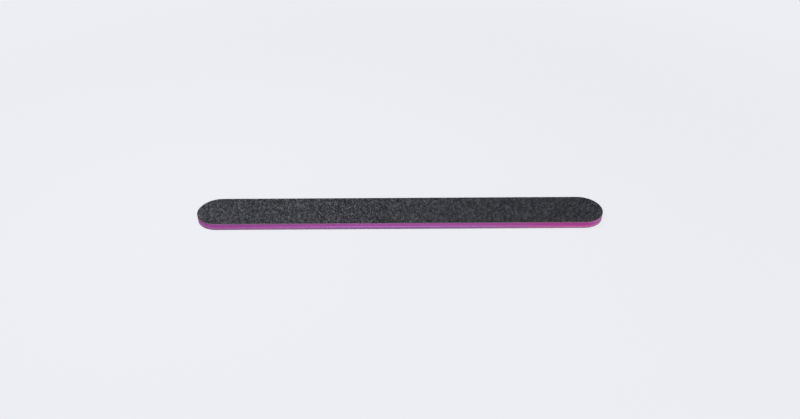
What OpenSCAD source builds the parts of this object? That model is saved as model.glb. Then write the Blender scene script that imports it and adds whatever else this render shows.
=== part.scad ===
// Straight emery board with round ends. A sheet of black grain is glued on each side of a
// coloured foam cushion, and a stiff strip runs through the foam, a little below its middle.
//
// Sizes are in millimetres. X runs along the board, Y across it and Z up through its layers.
// The origin is the middle of the underside.

/* [Board] */
// Length from tip to tip
board_length = 178; // [100:1:200]
// Width across the long edges
board_width = 19; // [12:0.5:30]

/* [Abrasive sheets] */
// How far the grain stands above the resin that holds it
grain_height = 0.15; // [0.13:0.01:0.4]
// Thickness of the resin coat
resin_thickness = 0.05; // [0.03:0.01:0.1]
// Thickness of the backing paper
paper_thickness = 0.15; // [0.1:0.01:0.3]
// Bevel that takes the sharpness off the rim of the grain
rim_bevel = 0.1; // [0.02:0.01:0.12]

/* [Foam cushion] */
// Thickness of the foam above the strip
upper_foam_thickness = 1.45; // [0.5:0.05:2.5]
// Thickness of the foam below the strip
lower_foam_thickness = 0.8; // [0.5:0.05:2.5]
// How far the cut edge of each foam draws in at the middle of its thickness
foam_hollow = 0.12; // [0.04:0.01:0.2]

/* [Centre strip] */
// Thickness of the stiff strip
strip_thickness = 0.4; // [0.3:0.05:1]
// How far the strip stops short of the edge of the sheets
strip_inset = 0.04; // [0.01:0.01:0.1]

/* [Glue films] */
// Thickness of each glue film
glue_thickness = 0.05; // [0.03:0.01:0.15]
// How far each glue film stops short of the edge of the sheets
glue_inset = 0.08; // [0.02:0.01:0.3]

/* [Hidden] */
$fn = 96;

// The ends are half circles as wide as the board
end_radius = board_width / 2;
straight_length = board_length - board_width;

// Each layer's distance from the middle of the strip, on the side whose foam is this thick
function foam_start() = strip_thickness / 2 + glue_thickness;
function sheet_glue_start(foam) = foam_start() + foam;
function paper_start(foam) = sheet_glue_start(foam) + glue_thickness;
function resin_start(foam) = paper_start(foam) + paper_thickness;
function grain_start(foam) = resin_start(foam) + resin_thickness;
function grain_tips(foam) = grain_start(foam) + grain_height;

// The board lies on the grain of its lower side
strip_middle = grain_tips(lower_foam_thickness);

// Carries a half section along both long edges and round both ends. The section is drawn with
// X running from the middle of the board out to its edge, and Y running up.
module sweep_outline() {
    rotate([90, 0, 90])
        linear_extrude(height = straight_length, center = true) {
            children();
            mirror([1, 0]) children();
        }
    for (end = [0, 180])
        rotate([0, 0, end])
            translate([straight_length / 2, 0, 0])
                rotate([0, 0, -90])
                    rotate_extrude(angle = 180) children();
}

// A layer of even thickness with a square edge
module flat_layer(thickness, inset = 0) {
    sweep_outline() square([end_radius - inset, thickness]);
}

// Grain from the resin up to its tips, with the rim bevelled
module grain_coat() {
    color("#3e3f43")
        sweep_outline()
            polygon([
                [0, 0],
                [end_radius, 0],
                [end_radius, grain_height - rim_bevel],
                [end_radius - rim_bevel, grain_height],
                [0, grain_height]
            ]);
}

module resin_coat() {
    color("#26262a") flat_layer(resin_thickness);
}

module backing_paper() {
    color("#86838a") flat_layer(paper_thickness);
}

module glue_film() {
    color("#8c5a86") flat_layer(glue_thickness, glue_inset);
}

// The die squeezes the foam as it cuts, so the edge springs back hollow. Its corners stay out
// at the edge, because the glue holds them there. The hollow is an arc that is foam_hollow
// deep over the thickness of the foam.
module foam(thickness) {
    arc_radius = (pow(thickness / 2, 2) + pow(foam_hollow, 2)) / (2 * foam_hollow);
    color("#9f4e96")
        sweep_outline()
            difference() {
                square([end_radius, thickness]);
                translate([end_radius - foam_hollow + arc_radius, thickness / 2])
                    circle(r = arc_radius);
            }
}

module centre_strip() {
    color("#b37db6")
        translate([0, 0, -strip_thickness / 2])
            flat_layer(strip_thickness, strip_inset);
}

// Layers are drawn from zero up. These put one at its distance from the middle of the strip,
// and the lower side is turned over.
module above(distance) {
    translate([0, 0, strip_middle + distance]) children();
}

module below(distance) {
    translate([0, 0, strip_middle - distance])
        mirror([0, 0, 1]) children();
}

above(grain_start(upper_foam_thickness)) grain_coat();  // upper_grain_coat
above(resin_start(upper_foam_thickness)) resin_coat();  // upper_resin_coat
above(paper_start(upper_foam_thickness)) backing_paper();  // upper_backing_paper
above(sheet_glue_start(upper_foam_thickness)) glue_film();  // upper_sheet_glue
above(foam_start()) foam(upper_foam_thickness);  // upper_foam
above(strip_thickness / 2) glue_film();  // upper_strip_glue
above(0) centre_strip();
below(strip_thickness / 2) glue_film();  // lower_strip_glue
below(foam_start()) foam(lower_foam_thickness);  // lower_foam
below(sheet_glue_start(lower_foam_thickness)) glue_film();  // lower_sheet_glue
below(paper_start(lower_foam_thickness)) backing_paper();  // lower_backing_paper
below(resin_start(lower_foam_thickness)) resin_coat();  // lower_resin_coat
below(grain_start(lower_foam_thickness)) grain_coat();  // lower_grain_coat
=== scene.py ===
import math

import bpy
import numpy as np
from mathutils import Matrix, Vector


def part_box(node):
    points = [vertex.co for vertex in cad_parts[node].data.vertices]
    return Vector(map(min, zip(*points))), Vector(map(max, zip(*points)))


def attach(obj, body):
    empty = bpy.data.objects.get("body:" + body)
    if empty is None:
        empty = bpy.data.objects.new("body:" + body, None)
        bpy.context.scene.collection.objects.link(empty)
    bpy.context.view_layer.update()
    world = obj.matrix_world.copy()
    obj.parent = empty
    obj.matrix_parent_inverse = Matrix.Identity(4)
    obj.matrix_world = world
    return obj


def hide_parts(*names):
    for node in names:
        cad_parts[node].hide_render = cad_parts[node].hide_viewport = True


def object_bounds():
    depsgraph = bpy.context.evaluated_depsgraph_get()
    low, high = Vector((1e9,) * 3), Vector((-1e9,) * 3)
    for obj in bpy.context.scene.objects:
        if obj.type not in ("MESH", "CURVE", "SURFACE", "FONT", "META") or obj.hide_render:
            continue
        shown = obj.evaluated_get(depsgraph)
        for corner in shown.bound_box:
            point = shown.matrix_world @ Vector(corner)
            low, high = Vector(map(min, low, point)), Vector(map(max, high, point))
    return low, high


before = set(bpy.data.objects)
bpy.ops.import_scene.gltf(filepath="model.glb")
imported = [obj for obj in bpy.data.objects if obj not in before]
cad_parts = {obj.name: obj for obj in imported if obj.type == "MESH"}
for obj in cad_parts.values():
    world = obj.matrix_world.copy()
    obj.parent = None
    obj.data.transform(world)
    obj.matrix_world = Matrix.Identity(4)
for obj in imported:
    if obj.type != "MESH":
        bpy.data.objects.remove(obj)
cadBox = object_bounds()
scene = bpy.context.scene
mm = 0.001  # the sizes below are in millimetres

boardLength = (cadBox[1].x - cadBox[0].x) / mm
boardWidth = (cadBox[1].y - cadBox[0].y) / mm
endRadius = boardWidth / 2  # each end is a half circle
straightLength = boardLength - boardWidth
outlineLength = 2 * straightLength + 2 * math.pi * endRadius
print("frame loaded:", round(boardLength), "by", round(boardWidth), "mm")

photoCamera = {
    "elevation": 35.3,  # degrees above the table
    "roll": -0.33,  # degrees; the right end of the board sits a little high in the picture
    "distance": 319,  # mm from the aim point
    "aim": (0.04, 5.23, 0),  # mm; just behind the board's middle, so it sits low in the picture
    "lens": 32,  # mm, on a sensor 36 mm wide
}


def makeCamera(spec):
    data = bpy.data.cameras.new("photoCamera")
    data.lens = spec["lens"]
    data.sensor_width = 36
    data.clip_start = 0.01
    camera = bpy.data.objects.new("photoCamera", data)
    scene.collection.objects.link(camera)
    elevation = math.radians(spec["elevation"])
    back = Vector((0, -math.cos(elevation), math.sin(elevation)))
    roll = Matrix.Rotation(math.radians(spec["roll"]), 3, back)
    facing = roll @ (-back).to_track_quat("-Z", "Y").to_matrix()
    place = (Vector(spec["aim"]) + back * spec["distance"]) * mm
    camera.matrix_world = Matrix.Translation(place) @ facing.to_4x4()
    scene.camera = camera


makeCamera(photoCamera)
print("camera placed")


def linear(hexColour):
    channels = [int(hexColour[i:i + 2], 16) / 255 for i in (1, 3, 5)]
    return [c / 12.92 if c <= 0.04045 else ((c + 0.055) / 1.055) ** 2.4 for c in channels] + [1]


def addNode(tree, kind, settings, inputs):
    # each input is a number, a colour or another node's output
    node = tree.nodes.new(kind)
    for name, value in settings.items():
        setattr(node, name, value)
    for name, value in inputs.items():
        if isinstance(value, bpy.types.NodeSocket):
            tree.links.new(value, node.inputs[name])
        else:
            node.inputs[name].default_value = value
    return node


def newMaterial(name):
    material = bpy.data.materials.new(name)
    material.use_nodes = True
    material.node_tree.nodes.clear()
    return material, material.node_tree


studio = {
    "backdrop": "#edeef3",  # the pale paper that the board lies on
    "shadowShare": 0.07,  # how much of the paper's own light and shade the camera sees near the board
    "shadowReach": (120, 420),  # mm from the board's middle; the shade fades out between these
    "ambient": 0.2,  # strength of the even light from all round
    "key": {"place": (-135, -10, 300), "size": 160, "power": 0.91},  # mm and watts; lights the face
    "fill": {"place": (330, -300, 120), "size": 220, "power": 0.74},  # low, so it lights the edge
}


def softBox(name, spec):
    data = bpy.data.lights.new(name, "AREA")
    data.shape = "DISK"
    data.size = spec["size"] * mm
    data.energy = spec["power"]
    lamp = bpy.data.objects.new(name, data)
    scene.collection.objects.link(lamp)
    place = Vector(spec["place"]) * mm
    facing = (-place).to_track_quat("-Z", "Y").to_matrix()
    lamp.matrix_world = Matrix.Translation(place) @ facing.to_4x4()


def backdropPaper(spec):
    # Seamless backdrop paper, lit flat to its own colour, with the faintest shade under the board.
    material, tree = newMaterial("seamlessBackdropPaper")
    colour = linear(spec["backdrop"])
    near, far = spec["shadowReach"]
    place = addNode(tree, "ShaderNodeTexCoord", {}, {})
    away = addNode(tree, "ShaderNodeVectorMath", {"operation": "LENGTH"}, {0: place.outputs["Object"]})
    flat = addNode(tree, "ShaderNodeMapRange", {"interpolation_type": "SMOOTHSTEP"},
                   {"Value": away.outputs["Value"], "From Min": near * mm, "From Max": far * mm,
                    "To Min": 1 - spec["shadowShare"], "To Max": 1})
    path = addNode(tree, "ShaderNodeLightPath", {}, {})
    share = addNode(tree, "ShaderNodeMath", {"operation": "MULTIPLY"},
                    {0: path.outputs["Is Camera Ray"], 1: flat.outputs[0]})
    lit = addNode(tree, "ShaderNodeBsdfDiffuse", {}, {"Color": colour})
    glow = addNode(tree, "ShaderNodeEmission", {}, {"Color": colour})
    mix = addNode(tree, "ShaderNodeMixShader", {},
                  {0: share.outputs[0], 1: lit.outputs[0], 2: glow.outputs[0]})
    addNode(tree, "ShaderNodeOutputMaterial", {}, {"Surface": mix.outputs[0]})
    return material


def makeStudio(spec):
    reach = 3  # metres
    mesh = bpy.data.meshes.new("table")
    corners = [(-reach, -reach, 0), (reach, -reach, 0), (reach, reach, 0), (-reach, reach, 0)]
    mesh.from_pydata(corners, [], [(0, 1, 2, 3)])
    mesh.materials.append(backdropPaper(spec))
    table = bpy.data.objects.new("table", mesh)
    scene.collection.objects.link(table)
    softBox("keyLamp", spec["key"])
    softBox("fillLamp", spec["fill"])
    scene.world = bpy.data.worlds.new("studio")
    scene.world.use_nodes = True
    tree = scene.world.node_tree
    tree.nodes.clear()
    around = addNode(tree, "ShaderNodeBackground", {}, {"Color": (1, 1, 1, 1), "Strength": spec["ambient"]})
    seen = addNode(tree, "ShaderNodeBackground", {}, {"Color": linear(spec["backdrop"])})
    path = addNode(tree, "ShaderNodeLightPath", {}, {})
    mix = addNode(tree, "ShaderNodeMixShader", {},
                  {0: path.outputs["Is Camera Ray"], 1: around.outputs[0], 2: seen.outputs[0]})
    addNode(tree, "ShaderNodeOutputWorld", {}, {"Surface": mix.outputs[0]})
    scene.view_settings.view_transform = "Standard"


makeStudio(studio)
print("table and lamps made")


def inSteps(tree, size, stretch=(1, 1, 1)):
    # places on the piece in steps of this many mm, longer along an axis whose stretch is above 1
    place = addNode(tree, "ShaderNodeTexCoord", {}, {})
    scale = [1 / (size * mm * s) for s in stretch]
    return addNode(tree, "ShaderNodeMapping", {},
                   {"Vector": place.outputs["Object"], "Scale": scale}).outputs[0]


def objectNoise(tree, size, stretch=(1, 1, 1), detail=2):
    # noise with lumps this many mm across
    return addNode(tree, "ShaderNodeTexNoise", {},
                   {"Vector": inSteps(tree, size, stretch), "Scale": 1, "Detail": detail}).outputs["Fac"]


def alongBoard(tree, drift):
    # two shares: from 0 at the left end to 1 at the right, and from 0 in the middle to 1 at both ends
    place = addNode(tree, "ShaderNodeTexCoord", {}, {})
    x = addNode(tree, "ShaderNodeSeparateXYZ", {}, {0: place.outputs["Object"]}).outputs["X"]
    half = boardLength / 2 * mm
    toRight = addNode(tree, "ShaderNodeMapRange", {}, {"Value": x, "From Min": -half, "From Max": half})
    away = addNode(tree, "ShaderNodeMath", {"operation": "ABSOLUTE"}, {0: x})
    toEnds = addNode(tree, "ShaderNodeMapRange", {"interpolation_type": "SMOOTHSTEP"},
                     {"Value": away.outputs[0], "From Min": drift[0] * mm, "From Max": drift[1] * mm})
    return toRight.outputs[0], toEnds.outputs[0]


def finishMaterial(tree, colour, pattern, spec):
    # roughness and relief both follow this pattern
    rough = addNode(tree, "ShaderNodeMapRange", {},
                    {"Value": pattern, "To Min": spec["rough"][0], "To Max": spec["rough"][1]})
    bump = addNode(tree, "ShaderNodeBump", {},
                   {"Height": pattern, "Strength": 0.5, "Distance": spec["relief"] * mm})
    shader = addNode(tree, "ShaderNodeBsdfPrincipled", {},
                     {"Base Color": colour, "Roughness": rough.outputs[0], "IOR": spec["ior"],
                      "Specular IOR Level": spec["gloss"], "Normal": bump.outputs[0]})
    addNode(tree, "ShaderNodeOutputMaterial", {}, {"Surface": shader.outputs[0]})


def nodeSpan(node):
    low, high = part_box(node)
    return low.z / mm, high.z / mm


def smoothNoise(x, y, sizes, seed):
    # numbers from 0 to 1 that change smoothly over about these many mm along x and y
    count = 256  # the pattern repeats after this many corners
    corners = np.random.default_rng(seed).random((count, count))
    x, y = x / sizes[0], y / sizes[1]
    x, y = 0.8 * x - 0.6 * y, 0.6 * x + 0.8 * y  # turned, so that its rows don't follow the edges
    column, row = np.floor(x).astype(int), np.floor(y).astype(int)
    across, up = x - column, y - row
    across, up = across * across * (3 - 2 * across), up * up * (3 - 2 * up)

    def corner(i, j):
        return corners[(column + i) % count, (row + j) % count]

    low = corner(0, 0) * (1 - across) + corner(1, 0) * across
    high = corner(0, 1) * (1 - across) + corner(1, 1) * across
    return low * (1 - up) + high * up


def addPiece(name, vertices, faceGroups, material, replaced):
    # vertices in mm; the faces of one group all have the same number of corners
    mesh = bpy.data.meshes.new(name)
    mesh.vertices.add(len(vertices))
    mesh.vertices.foreach_set("co", (vertices * mm).astype(np.float32).ravel())
    corners = np.concatenate([group.ravel() for group in faceGroups])
    sizes = np.concatenate([np.full(len(group), group.shape[1]) for group in faceGroups])
    mesh.loops.add(len(corners))
    mesh.loops.foreach_set("vertex_index", corners.astype(np.int32))
    mesh.polygons.add(len(sizes))
    mesh.polygons.foreach_set("loop_start", (np.cumsum(sizes) - sizes).astype(np.int32))
    mesh.update(calc_edges=True)
    mesh.materials.append(material)
    piece = bpy.data.objects.new(name, mesh)
    scene.collection.objects.link(piece)
    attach(piece, "root")
    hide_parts(replaced)
    return piece


def addNumbers(piece, name, values):
    # one number for each vertex, for the material to read
    attribute = piece.data.attributes.new(name, "FLOAT", "POINT")
    attribute.data.foreach_set("value", values.astype(np.float32).ravel())


def addBakeMap(piece, places):
    # one place on the map for each corner of each face
    layer = piece.data.uv_layers.new(name="OFBake")
    layer.data.foreach_set("uv", places.astype(np.float32).ravel())


grainSheet = {
    "pitch": 0.315,  # mm between grains; real ones lie 0.15 mm apart, too fine to show
    "stray": 0.38,  # share of the pitch that a grain may lie off its place
    "clear": 0.05,  # mm from the outline to the outermost grain's middle
    "radius": (0.15, 0.24),  # mm
    "inClumps": (0.85, 0.3),  # share of that radius between clumps, and what a clump adds
    "footSpread": (0.8, 1.15),  # share of its radius at which each corner of a grain's foot lies
    "topShare": (0.45, 0.85),  # the same for the corners of its top
    "skew": 0.35,  # radians that a corner may lie off its place
    "lean": 0.2,  # share of its radius by which the top usually leans
    "slant": 0.9,  # share of its height by which a corner of the top may drop
    "height": (0.55, 0.25, 0.35),  # shares of the coat: least, what a clump adds, what chance adds
    "sunk": 0.03,  # mm that a grain's lowest point sits in the resin
    "footLevel": (-0.5, 1.2),  # times that depth, above the resin, for the corners of its foot
    "rimBevel": 0.1,  # mm; the rim is rubbed down after cutting
    "clump": (0.6, 1),  # mm along and across; grains fall thicker in some spots than in others
    "shade": (0.31, 0.65, 0.12),  # usual, what a clump changes, what chance changes
    "darkGrain": "#0a0d18",
    "paleGrain": "#70727c",
    "ripple": 0.06,  # mm; real fracture steps are about 0.01 mm, too fine to show
    "relief": 0.002,  # mm
    "rough": (0.22, 0.5),
    "ior": 1.55,
    "gloss": 0.5,
}


def siliconCarbide(spec):
    # Black silicon carbide, crushed, sieved and set upright in resin: near black with a blue cast,
    # sharp rippled facets that glint one by one, and grains that range from black to steel grey.
    material, tree = newMaterial("crushedSiliconCarbide")
    shade = addNode(tree, "ShaderNodeAttribute", {"attribute_name": "shade"}, {})
    colour = addNode(tree, "ShaderNodeMix", {"data_type": "RGBA"},
                     {0: shade.outputs["Fac"], 6: linear(spec["darkGrain"]), 7: linear(spec["paleGrain"])})
    finishMaterial(tree, colour.outputs[2], objectNoise(tree, spec["ripple"], detail=1), spec)
    return material


def scatterGrains(fromX, toX, spec, draw):
    # a loose honeycomb of places, as far as the outline of the board
    pitch, stray = spec["pitch"], spec["stray"]
    rowPitch = pitch * 0.866  # every other row is half a pitch along, so the rows lie closer
    x, y = np.meshgrid(np.arange(fromX, toX, pitch), np.arange(-endRadius, endRadius, rowPitch))
    x = x + (np.arange(len(y)) % 2)[:, None] * pitch / 2
    x = (x + draw.uniform(-stray, stray, x.shape) * pitch).ravel()
    y = (y + draw.uniform(-stray, stray, y.shape) * pitch).ravel()
    pastStraight = np.maximum(np.abs(x) - straightLength / 2, 0)
    kept = (np.hypot(pastStraight, y) < endRadius - spec["clear"]) & (x >= fromX) & (x < toX)
    return x[kept], y[kept]


def shapeGrains(x, y, height, clump, spec, draw):
    # each grain is a leaning wedge: a triangle at its foot (corners 0 to 2), a smaller one turned
    # half way round on top (3 to 5), and a point in the resin (6)
    count = x.size
    skew = spec["skew"]
    between, inClump = spec["inClumps"]
    least, byClump, byChance = spec["height"]
    radius = draw.uniform(*spec["radius"], (count, 1)) * (between + inClump * clump[:, None])
    tip = height * np.clip(least + byClump * clump + byChance * draw.random(count) ** 2, 0, 1)
    turn = draw.uniform(0, 2 * math.pi, (count, 1)) + np.arange(3) * 2 * math.pi / 3
    footTurn = turn + draw.uniform(-skew, skew, (count, 3))
    footRadius = radius * draw.uniform(*spec["footSpread"], (count, 3))
    topTurn = turn + math.pi / 3 + draw.uniform(-skew, skew, (count, 3))
    topRadius = radius * draw.uniform(*spec["topShare"], (count, 3))
    lean = draw.normal(0, spec["lean"], (count, 2)) * radius
    drop = draw.uniform(0, spec["slant"], (count, 3))
    drop -= drop.min(1, keepdims=True)  # one corner of the top is the tip
    shape = np.zeros((count, 7, 3))
    shape[:, 0:3, 0] = footRadius * np.cos(footTurn)
    shape[:, 0:3, 1] = footRadius * np.sin(footTurn)
    shape[:, 0:3, 2] = draw.uniform(*spec["footLevel"], (count, 3)) * spec["sunk"]
    shape[:, 3:6, 0] = topRadius * np.cos(topTurn) + lean[:, :1]
    shape[:, 3:6, 1] = topRadius * np.sin(topTurn) + lean[:, 1:]
    shape[:, 3:6, 2] = tip[:, None] * (1 - drop)
    shape[:, 6, 2] = -spec["sunk"]
    shape[:, :, 0] += x[:, None]
    shape[:, :, 1] += y[:, None]
    return shape


def trimAtRim(shape, height, rimBevel):
    # the die cuts through the grains at the rim, and the rub takes their corners off
    past = np.maximum(np.abs(shape[:, :, 0]) - straightLength / 2, 0)
    reach = np.hypot(past, shape[:, :, 1])
    pull = np.minimum(1, endRadius / np.maximum(reach, 1e-6))
    pulled = np.sign(shape[:, :, 0]) * (straightLength / 2 + past * pull)
    shape[:, :, 0] = np.where(past > 0, pulled, shape[:, :, 0])
    shape[:, :, 1] *= pull
    room = height - np.maximum(reach * pull - (endRadius - rimBevel), 0)
    shape[:, :, 2] = np.minimum(shape[:, :, 2], room)


def grainMap(shape, faces, x, fromX, toX):
    # the bake's map is the view from above, cut in two rows; the feet, out of sight, shrink to dots
    margin, dot = 0.01, 0.02
    corners = shape[np.arange(len(shape))[:, None, None], faces[None]][..., :2]
    middles = corners.mean(2, keepdims=True)
    feet = (faces == 6).any(1)
    corners[:, feet] = middles[:, feet] + (corners[:, feet] - middles[:, feet]) * dot
    row = (x > (fromX + toX) / 2)[:, None, None]
    rowLength = (toX - fromX) / 2
    across = (corners[..., 0] - fromX - row * rowLength) / rowLength
    up = (corners[..., 1] + endRadius) / boardWidth
    filled = 1 - 2 * margin
    return np.stack([margin + filled * across, (row + margin + filled * up) / 2], -1)


def grainField(name, side, half, seed, spec, material):
    low, high = nodeSpan(side + "_grain_coat")
    height = high - low
    fromX, toX = (-boardLength / 2, 0) if half == "Left" else (0, boardLength / 2)
    draw = np.random.default_rng(seed)
    x, y = scatterGrains(fromX, toX, spec, draw)
    clump = smoothNoise(x, y, spec["clump"], seed)
    shape = shapeGrains(x, y, height, clump, spec, draw)
    trimAtRim(shape, height, spec["rimBevel"])
    faces = [(3, 4, 5)]
    for k in range(3):
        following = (k + 1) % 3
        faces += [(k, following, 3 + k), (3 + k, following, 3 + following), (6, following, k)]
    faces = np.array(faces)
    if side == "upper":
        shape[:, :, 2] += low
    else:
        shape[:, :, 2] = high - shape[:, :, 2]
        faces = faces[:, ::-1]
    perGrain = shape.shape[1]
    everyFace = (faces[None] + perGrain * np.arange(x.size)[:, None, None]).reshape(-1, 3)
    piece = addPiece(name, shape.reshape(-1, 3), [everyFace], material, side + "_grain_coat")
    piece.data.shade_flat()  # keeps the facets sharp
    usual, byClump, byChance = spec["shade"]
    shade = np.clip(usual + byClump * (clump - 0.5) + draw.normal(0, byChance, x.size), 0, 1)
    addNumbers(piece, "shade", np.repeat(shade ** 1.5, perGrain))  # the power keeps most grains dark
    addBakeMap(piece, grainMap(shape, faces, x, fromX, toX))
    print(name, len(everyFace), "facets")


grainMaterial = siliconCarbide(grainSheet)
for side, seed in (("upper", 11), ("lower", 12)):
    for half in ("Left", "Right"):
        grainField(side + "Grain" + half, side, half, seed, grainSheet, grainMaterial)


# Painted light: the lower foam's colours are paler than the upper foam's, painted as if the table lit it
# from below, though both layers are the same foam. Along the board the colour is partly dye and partly
# painted light and shade that lightens or darkens each end.
foamDyesAndLight = {
    "upper": {"left": "#9a3494", "middle": "#af44a2", "right": "#b2208b"},
    "lower": {"left": "#a863a9", "middle": "#a162a9", "right": "#d773ac"},
}
foamCushion = {
    "drift": (15, 80),  # mm from the middle; the colour changes between these, partly dye and partly painted light
    "mottle": 14,  # mm; the dye takes unevenly
    "mottleShare": 0.8,  # how far that shifts the dye between the colours above
    "paintedTipSheen": "#b794c4",  # painted sheen: the right tip is painted paler, as if light from the right caught it
    "paintedSheenStart": 0.955,  # share of the board's length
    "paintedSheenShare": 0.7,  # how far the very tip has turned to that colour
    "wallHighlight": "#c880c0",  # painted highlight: the thin cell walls are painted paler, as if catching the light
    "wallHighlightShare": 0.35,  # how far a wall has that colour
    "cell": 0.12,  # mm
    "wallShare": 0.2,  # of the cell, on each side of a wall
    "hollow": 0.12,  # mm that the cut edge draws in
    "pit": 0.24,  # mm; the largest cells, cut open, are pits in the edge
    "pitDepth": 0.05,  # mm
    "held": 0.1,  # mm from each face that the glue keeps free of pits
    "step": 0.09,  # mm between mesh points
    "relief": 0.06,  # mm
    "rough": (0.8, 0.6),
    "ior": 1.48,
    "gloss": 0.5,
}


def evaFoam(name, dyesAndLight, spec):
    # Cross-linked EVA foam, die cut: matt and slightly chalky, with cut cells as fine pits between walls
    # painted paler as a highlight, and a colour that drifts along the board, partly dye and partly painted
    # light.
    material, tree = newMaterial(name)
    # the colour along the board is partly dye and partly painted light
    toRight, toEnds = alongBoard(tree, spec["drift"])
    ends = addNode(tree, "ShaderNodeMix", {"data_type": "RGBA"},
                   {0: toRight, 6: linear(dyesAndLight["left"]), 7: linear(dyesAndLight["right"])})
    slow = objectNoise(tree, spec["mottle"], detail=3)
    uneven = addNode(tree, "ShaderNodeMath", {"operation": "MULTIPLY_ADD"},
                     {0: slow, 1: spec["mottleShare"], 2: -spec["mottleShare"] / 2})
    share = addNode(tree, "ShaderNodeMath", {"operation": "ADD"}, {0: toEnds, 1: uneven.outputs[0]})
    dyeAndLight = addNode(tree, "ShaderNodeMix", {"data_type": "RGBA"},
                  {0: share.outputs[0], 6: linear(dyesAndLight["middle"]), 7: ends.outputs[2]})
    # painted sheen at the right tip, paler toward the very end
    atTip = addNode(tree, "ShaderNodeMapRange", {},
                    {"Value": toRight, "From Min": spec["paintedSheenStart"], "From Max": 1,
                     "To Max": spec["paintedSheenShare"]})
    withTipSheen = addNode(tree, "ShaderNodeMix", {"data_type": "RGBA"},
                     {0: atTip.outputs[0], 6: dyeAndLight.outputs[2], 7: linear(spec["paintedTipSheen"])})
    cells = addNode(tree, "ShaderNodeTexVoronoi", {"feature": "DISTANCE_TO_EDGE"},
                    {"Vector": inSteps(tree, spec["cell"]), "Scale": 1})
    wall = addNode(tree, "ShaderNodeMapRange", {},
                   {"Value": cells.outputs["Distance"], "From Min": spec["wallShare"], "From Max": 0})
    # painted highlight on the cell walls; the pits between them keep the darker colour
    wallLight = addNode(tree, "ShaderNodeMath", {"operation": "MULTIPLY"},
                   {0: wall.outputs[0], 1: spec["wallHighlightShare"]})
    colour = addNode(tree, "ShaderNodeMix", {"data_type": "RGBA"},
                     {0: wallLight.outputs[0], 6: withTipSheen.outputs[2], 7: linear(spec["wallHighlight"])})
    finishMaterial(tree, colour.outputs[2], wall.outputs[0], spec)
    return material


def outlinePoints(count):
    # points at even steps anticlockwise from the left tip, with their outward directions
    along = np.arange(count) * outlineLength / count
    quarter = math.pi * endRadius / 2
    # an arc to the front edge, the front edge, the right end, the back edge and an arc back to the tip
    starts = np.cumsum([0, quarter, straightLength, 2 * quarter, straightLength])
    leg = np.searchsorted(starts, along, side="right") - 1
    within = along - starts[leg]
    firstAngle = np.array([math.pi, -math.pi / 2, -math.pi / 2, math.pi / 2, math.pi / 2])[leg]
    angle = firstAngle + np.where(leg % 2 == 0, within / endRadius, 0)  # the even legs are arcs
    firstMiddle = np.array([-1, -1, 1, 1, -1])[leg] * straightLength / 2
    middleX = firstMiddle + np.array([0, 1, 0, -1, 0])[leg] * within
    outX, outY = np.cos(angle), np.sin(angle)
    return along, middleX + endRadius * outX, endRadius * outY, outX, outY


def cellPits(across, up, size, seed):
    # how far into a cut cell each point lies, from 0 on its rim to 1 in its middle
    columns = round(outlineLength / size)
    rows = 64  # more than the thickest foam has
    spots = np.random.default_rng(seed).random((columns, rows, 2))
    across, up = across * columns / outlineLength, up / size + rows / 8
    column, row = np.floor(across).astype(int), np.floor(up).astype(int)
    nearest = np.full(across.shape, np.inf)
    second = np.full(across.shape, np.inf)
    for i in (-1, 0, 1):
        for j in (-1, 0, 1):
            spot = spots[(column + i) % columns, (row + j) % rows]
            gap = np.hypot(column + i + spot[..., 0] - across, row + j + spot[..., 1] - up)
            second = np.minimum(second, np.maximum(nearest, gap))
            nearest = np.minimum(nearest, gap)
    steepness = 1.6
    return np.clip((second - nearest) * steepness, 0, 1)


def foamMap(rows, columns, folds, flatPoints):
    # the bake's map holds the long edge folded into rows, with the flat faces above them
    margin = 0.04
    perFold = columns // folds
    column = np.arange(columns)
    across = ((column % perFold)[:, None] + np.array([0, 1, 1, 0])) / perFold
    level = np.arange(rows)[:, None, None] + np.array([0, 0, 1, 1])
    up = ((column // perFold)[:, None] + margin + (1 - 2 * margin) * level / rows) / (folds + 1)
    wall = np.stack([np.broadcast_to(across, up.shape), up], -1).reshape(-1, 2)
    flatX, flatY = flatPoints[:, 0] / boardLength, flatPoints[:, 1] / boardWidth
    flat = np.stack([0.5 + 0.99 * flatX, (folds + 0.5 + 0.9 * flatY) / (folds + 1)], -1)
    return np.concatenate([wall, flat])


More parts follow.
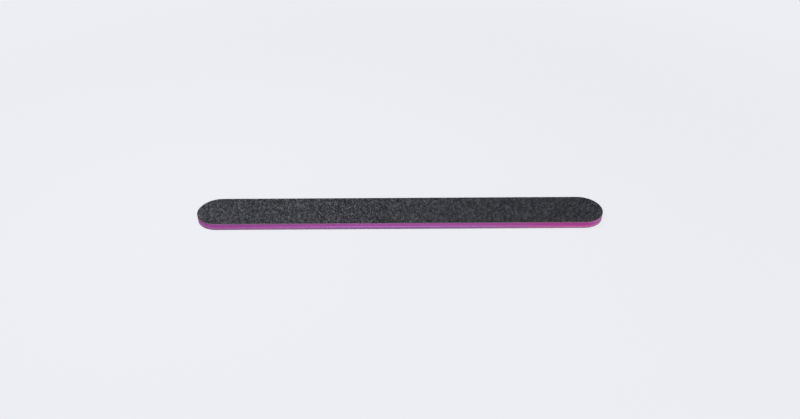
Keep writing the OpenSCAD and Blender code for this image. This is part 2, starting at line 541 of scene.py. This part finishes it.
def foamLayer(name, node, seed, spec, material):
    low, high = nodeSpan(node)
    thickness = high - low
    folds = 16  # rows of the bake's map
    columns = folds * 2 * round(outlineLength / spec["step"] / folds / 2)  # as many in each row
    rows = round(thickness / spec["step"])
    along, x, y, outX, outY = outlinePoints(columns)
    height = np.linspace(0, thickness, rows + 1)
    radius = (thickness ** 2 / 4 + spec["hollow"] ** 2) / (2 * spec["hollow"])
    hollow = spec["hollow"] - radius + np.sqrt(radius ** 2 - (height - thickness / 2) ** 2)
    alongGrid, heightGrid = np.meshgrid(along, height)
    free = np.clip(np.minimum(heightGrid, thickness - heightGrid) / spec["held"], 0, 1)
    pits = cellPits(alongGrid, heightGrid, spec["pit"], seed) * free
    inward = hollow[:, None] + spec["pitDepth"] * pits
    vertices = np.stack([x - outX * inward, y - outY * inward, low + heightGrid], -1).reshape(-1, 3)

    index = np.arange((rows + 1) * columns).reshape(rows + 1, columns)
    right = np.roll(index, -1, axis=1)
    wall = np.stack([index[:-1], right[:-1], right[1:], index[1:]], -1).reshape(-1, 4)
    near = np.arange(1, columns // 2 - 1)  # each point on the front has a mirror point on the back
    middle = columns // 2
    strips, tips = [], []
    for ring, step in ((index[0], -1), (index[-1], 1)):
        strips.append(np.stack([ring[near], ring[near + 1], ring[-near - 1], ring[-near]], -1)[:, ::step])
        tips.append(ring[[[0, 1, -1], [middle - 1, middle, middle + 1]]][:, ::step])
    strips, tips = np.concatenate(strips), np.concatenate(tips)
    piece = addPiece(name, vertices, [wall, strips, tips], material, node)
    piece.data.shade_smooth()
    piece.data.set_sharp_from_angle(angle=math.radians(50))  # the corners at both faces stay crisp
    flatPoints = vertices[np.concatenate([strips.ravel(), tips.ravel()])]
    addBakeMap(piece, foamMap(rows, columns, folds, flatPoints))
    print(name, len(piece.data.polygons), "faces")
    return piece


for side, seed in (("upper", 21), ("lower", 22)):
    # each layer has its own material; the lower one is painted paler, as if lit from below
    foamMaterial = evaFoam("dieCutEvaFoam" + side.capitalize(), foamDyesAndLight[side], foamCushion)
    foam = foamLayer(side + "Foam", side + "_foam", seed, foamCushion, foamMaterial)


resinCoat = {
    "dark": "#151518",
    "pale": "#2a292e",
    "wave": 0.5,  # mm; the resin sags between grains as it cures
    "relief": 0.03,  # mm
    "rough": (0.2, 0.4),
    "ior": 1.6,
    "gloss": 0.5,
}


def phenolicResin(spec):
    # Phenolic resin, roller coated and oven cured: near black and glossy, with soft sags between grains.
    material, tree = newMaterial("ovenCuredPhenolicResin")
    wave = objectNoise(tree, spec["wave"], detail=3)
    colour = addNode(tree, "ShaderNodeMix", {"data_type": "RGBA"},
                     {0: wave, 6: linear(spec["dark"]), 7: linear(spec["pale"])})
    finishMaterial(tree, colour.outputs[2], wave, spec)
    return material


backingPaper = {
    "shadow": "#6f6c74",
    "fibre": "#99969d",
    "fibreWidth": 0.05,  # mm through the sheet; pulp fibres are about 0.03 mm
    "fibreLength": 12,  # times as long as they are wide, as they lie flat in the sheet
    "contrast": (0.3, 0.7),  # values of the noise that turn all shadow and all fibre
    "relief": 0.02,  # mm
    "rough": (0.95, 0.75),
    "ior": 1.5,
    "gloss": 0.5,
}


def kraftPaper(spec):
    # Kraft paper soaked in latex, die cut: the cut shows flat-lying pulp fibres as short grey streaks
    # that run along the sheet, dull and slightly furred.
    material, tree = newMaterial("dieCutKraftPaper")
    long = spec["fibreLength"]
    fibre = objectNoise(tree, spec["fibreWidth"], stretch=(long, long, 1), detail=4)
    low, high = spec["contrast"]
    contrast = addNode(tree, "ShaderNodeMapRange", {}, {"Value": fibre, "From Min": low, "From Max": high})
    colour = addNode(tree, "ShaderNodeMix", {"data_type": "RGBA"},
                     {0: contrast.outputs[0], 6: linear(spec["shadow"]), 7: linear(spec["fibre"])})
    finishMaterial(tree, colour.outputs[2], contrast.outputs[0], spec)
    return material


glueFilm = {
    "thin": "#a0588f",  # the foam's colour comes through where the film is thin
    "thick": "#74506d",
    "smear": 0.6,  # mm
    "relief": 0.02,  # mm
    "rough": (0.15, 0.4),
    "ior": 1.52,
    "gloss": 0.5,
}


def contactAdhesive(spec):
    # Rubber contact adhesive, sprayed and pressed: a thin glossy film, tinted by the foam behind it.
    material, tree = newMaterial("sprayedContactAdhesive")
    smear = objectNoise(tree, spec["smear"], detail=3)
    colour = addNode(tree, "ShaderNodeMix", {"data_type": "RGBA"},
                     {0: smear, 6: linear(spec["thin"]), 7: linear(spec["thick"])})
    finishMaterial(tree, colour.outputs[2], smear, spec)
    return material


centreStrip = {
    "burnished": "#d388e1",  # where the die polished the cut
    "wallLight": "#ba71c9",
    "line": 0.12,  # mm between the die's score lines; real ones are about 0.05 mm, too fine to show
    "lineLength": 8,  # times as long as they are wide, as the die runs straight down
    "foamSmear": "#c7319e",  # foam that the die dragged over the strip
    "drift": (20, 85),  # mm from the middle; the smear thickens between these
    "crumb": 0.5,  # mm
    "crumbShare": 0.6,  # how unevenly the smear lies
    "relief": 0.02,  # mm
    "rough": (0.5, 0.3),
    "ior": 1.59,
    "gloss": 0.5,
}


def polystyreneStrip(spec):
    # High-impact polystyrene, die cut: lavender with a satin gloss, scored by fine upright lines where
    # the die ran through it, and smeared with magenta foam toward both ends.
    material, tree = newMaterial("dieCutPolystyrene")
    lines = objectNoise(tree, spec["line"], stretch=(1, 1, spec["lineLength"]))
    bare = addNode(tree, "ShaderNodeMix", {"data_type": "RGBA"},
                   {0: lines, 6: linear(spec["wallLight"]), 7: linear(spec["burnished"])})
    toEnds = alongBoard(tree, spec["drift"])[1]
    crumbs = objectNoise(tree, spec["crumb"])
    uneven = addNode(tree, "ShaderNodeMath", {"operation": "MULTIPLY_ADD"},
                     {0: crumbs, 1: spec["crumbShare"], 2: -spec["crumbShare"] / 2})
    share = addNode(tree, "ShaderNodeMath", {"operation": "ADD"}, {0: toEnds, 1: uneven.outputs[0]})
    colour = addNode(tree, "ShaderNodeMix", {"data_type": "RGBA"},
                     {0: share.outputs[0], 6: bare.outputs[2], 7: linear(spec["foamSmear"])})
    finishMaterial(tree, colour.outputs[2], lines, spec)
    return material


finishes = {
    "resin_coat": phenolicResin(resinCoat),
    "backing_paper": kraftPaper(backingPaper),
    "glue": contactAdhesive(glueFilm),
    "centre_strip": polystyreneStrip(centreStrip),
}
for node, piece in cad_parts.items():
    for ending, material in finishes.items():
        if node.endswith(ending):
            piece.data.materials.clear()
            piece.data.materials.append(material)
print("layers finished")
